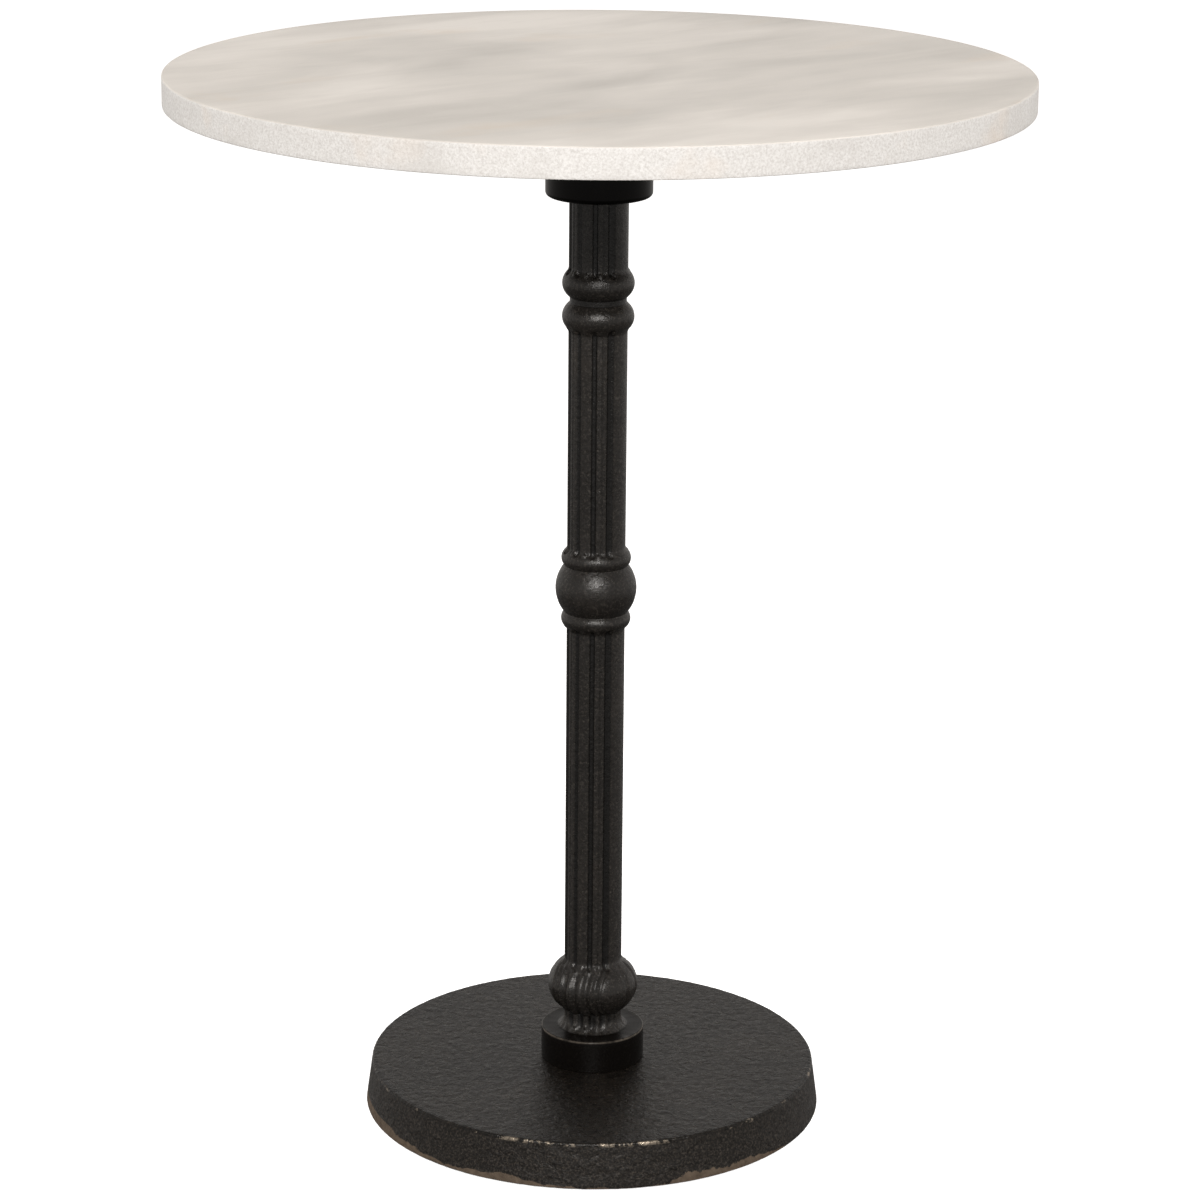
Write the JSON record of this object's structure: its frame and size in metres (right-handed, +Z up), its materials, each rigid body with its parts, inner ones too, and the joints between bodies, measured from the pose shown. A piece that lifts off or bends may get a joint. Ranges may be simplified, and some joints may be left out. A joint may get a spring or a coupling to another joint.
{
  "type": "bistro table",
  "caption": "Round marble-topped bistro table on a fluted cast-iron column with turned beads and balls, a round cast-iron foot and screw levelling glides.",
  "frame": {"origin": "on the floor, under the column's axis", "axes": "+Z up along the column, -Y towards the front"},
  "size_m": [0.6, 0.6, 0.762],
  "materials": {
    "marble": "honed pale grey marble with soft cloudy veins",
    "column_iron": "satin black-brown paint over cast iron",
    "base_iron": "satin black-brown paint over a rough casting, worn at the rims",
    "spider_iron": "satin black paint over cast iron",
    "steel": "zinc-plated",
    "brass": "turned",
    "rubber": "matte",
    "nylon": "moulded"
  },
  "bodies": {
    "table": {"marble_top": "marble", "top_spider": "spider_iron", "column": "column_iron", "base_plate": "base_iron", "tie_rod": "steel", "top_rod_washer": "steel", "top_rod_nut": "steel", "bottom_rod_washer": "steel", "bottom_lock_washer": "steel", "bottom_rod_nut": "steel", "column_dowel": "steel", "spider_pad_1": "rubber", "spider_pad_2": "rubber", "spider_pad_3": "rubber", "spider_pad_4": "rubber", "spider_bolt_1": "steel", "spider_bolt_2": "steel", "spider_bolt_3": "steel", "spider_bolt_4": "steel", "spider_washer_1": "steel", "spider_washer_2": "steel", "spider_washer_3": "steel", "spider_washer_4": "steel", "top_insert_1": "brass", "top_insert_2": "brass", "top_insert_3": "brass", "top_insert_4": "brass"},
    "glide_1": {"levelling_foot_1": "nylon"},
    "stem_1": {"levelling_stem_1": "steel"},
    "glide_2": {"levelling_foot_2": "nylon"},
    "stem_2": {"levelling_stem_2": "steel"},
    "glide_3": {"levelling_foot_3": "nylon"},
    "stem_3": {"levelling_stem_3": "steel"},
    "glide_4": {"levelling_foot_4": "nylon"},
    "stem_4": {"levelling_stem_4": "steel"}
  },
  "joints": [
    {"name": "glide_1_drop", "type": "slide", "parent": "table", "child": "glide_1", "axis": [0, 0, -1], "range_m": [0, 0.008]},
    {"name": "stem_1_screw", "type": "hinge", "parent": "glide_1", "child": "stem_1", "pos_m": [0.09546, 0.09546, 0.02], "axis": [0, 0, -1], "range_deg": [0, 2268]},
    {"name": "glide_2_drop", "type": "slide", "parent": "table", "child": "glide_2", "axis": [0, 0, -1], "range_m": [0, 0.008]},
    {"name": "stem_2_screw", "type": "hinge", "parent": "glide_2", "child": "stem_2", "pos_m": [-0.09546, 0.09546, 0.02], "axis": [0, 0, -1], "range_deg": [0, 2268]},
    {"name": "glide_3_drop", "type": "slide", "parent": "table", "child": "glide_3", "axis": [0, 0, -1], "range_m": [0, 0.008]},
    {"name": "stem_3_screw", "type": "hinge", "parent": "glide_3", "child": "stem_3", "pos_m": [-0.09546, -0.09546, 0.02], "axis": [0, 0, -1], "range_deg": [0, 2268]},
    {"name": "glide_4_drop", "type": "slide", "parent": "table", "child": "glide_4", "axis": [0, 0, -1], "range_m": [0, 0.008]},
    {"name": "stem_4_screw", "type": "hinge", "parent": "glide_4", "child": "stem_4", "pos_m": [0.09546, -0.09546, 0.02], "axis": [0, 0, -1], "range_deg": [0, 2268]}
  ],
  "couplings": [
    {"joint": "glide_1_drop", "follows": "stem_1_screw", "m_per_rad": 0.00019894},
    {"joint": "glide_2_drop", "follows": "stem_2_screw", "m_per_rad": 0.00019894},
    {"joint": "glide_3_drop", "follows": "stem_3_screw", "m_per_rad": 0.00019894},
    {"joint": "glide_4_drop", "follows": "stem_4_screw", "m_per_rad": 0.00019894}
  ]
}
